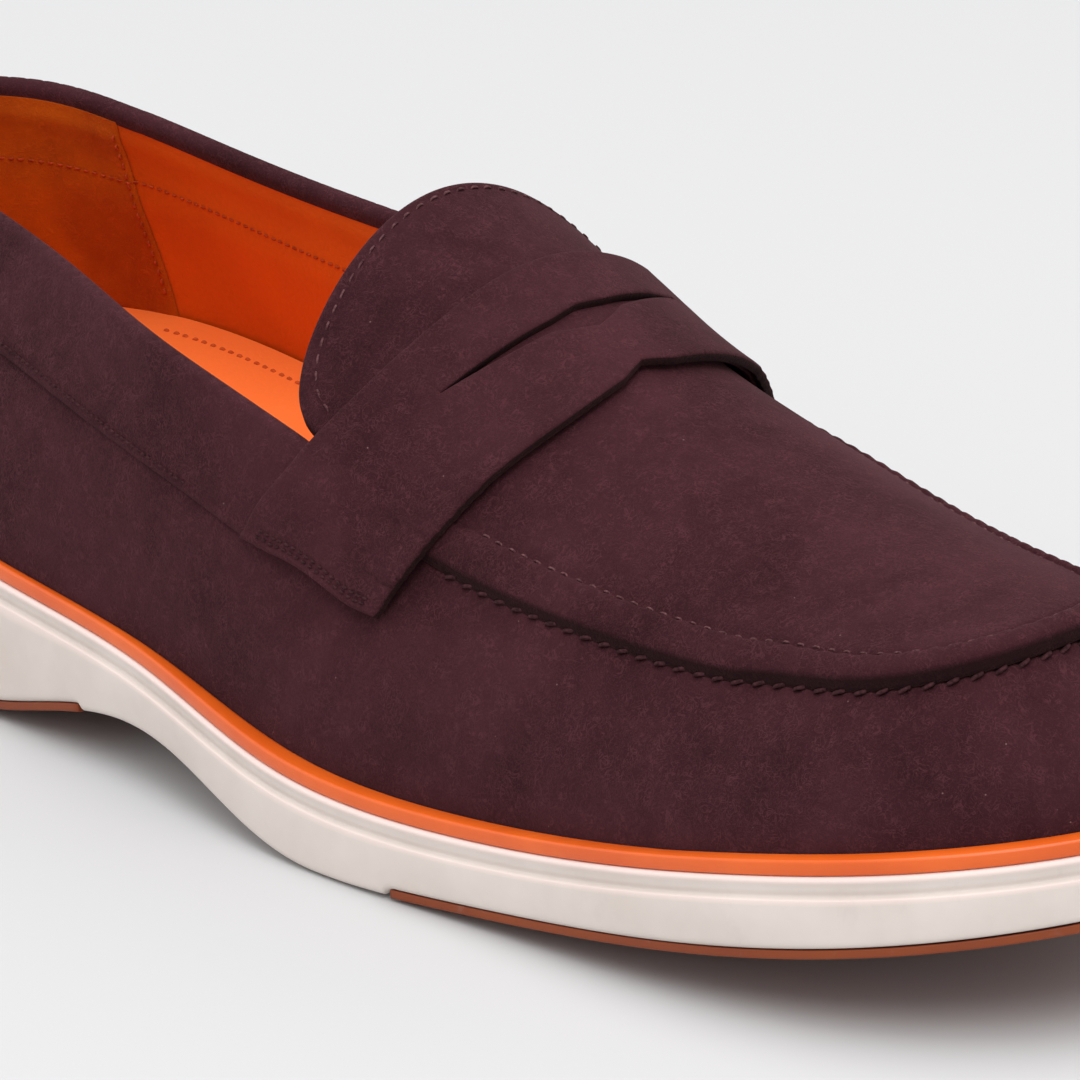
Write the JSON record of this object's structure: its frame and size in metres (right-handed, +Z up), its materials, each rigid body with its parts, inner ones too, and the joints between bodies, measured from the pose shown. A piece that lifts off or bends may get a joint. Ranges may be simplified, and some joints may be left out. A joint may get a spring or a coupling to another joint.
{
  "type": "penny loafer",
  "caption": "Moc-toe penny loafer for the right foot: suede upper with a raised apron and a slotted saddle strap, leather lining, light midsole with an arched waist and rubber pads.",
  "frame": {"origin": "middle of the sole in plan, on the ground", "axes": "+X from heel to toe, +Y to the inner (medial) side of the right foot, +Z up"},
  "size_m": [0.302, 0.1, 0.0924],
  "materials": {
    "suede": "burgundy suede with a short brushed nap",
    "lining": "smooth orange leather",
    "sock": "bright orange leather",
    "grip": "orange napped leather",
    "textile": "woven lining cloth",
    "welt": "satin orange strip",
    "midsole": "off-white foam with a satin skin",
    "outsole": "matt orange rubber",
    "foam": "soft open foam",
    "board": "cellulose board",
    "filler": "cork and latex sheet",
    "steel": "spring steel",
    "stiffener": "thermoplastic sheet",
    "thread": "burgundy thread",
    "lining_thread": "orange thread"
  },
  "bodies": {
    "root": {"outsole_heel": "outsole", "outsole_forefoot": "outsole", "midsole": "midsole", "welt": "welt", "shank": "steel", "bottom_filler": "filler", "insole_board": "board", "footbed_foam": "foam", "sock_liner": "sock", "vamp_wall": "suede", "heel_counter": "stiffener", "toe_puff": "stiffener", "quarter_lining": "lining", "vamp_lining": "textile", "heel_grip": "grip", "collar_band": "suede", "topline_binding": "suede", "apron": "suede", "apron_lining": "textile", "strap_backing": "lining", "penny_strap": "suede", "apron_stitches": "thread", "seam_stitches": "thread", "strap_stitches": "thread", "collar_stitches": "thread", "lining_stitches": "lining_thread", "sock_stitches": "lining_thread"}
  },
  "joints": []
}
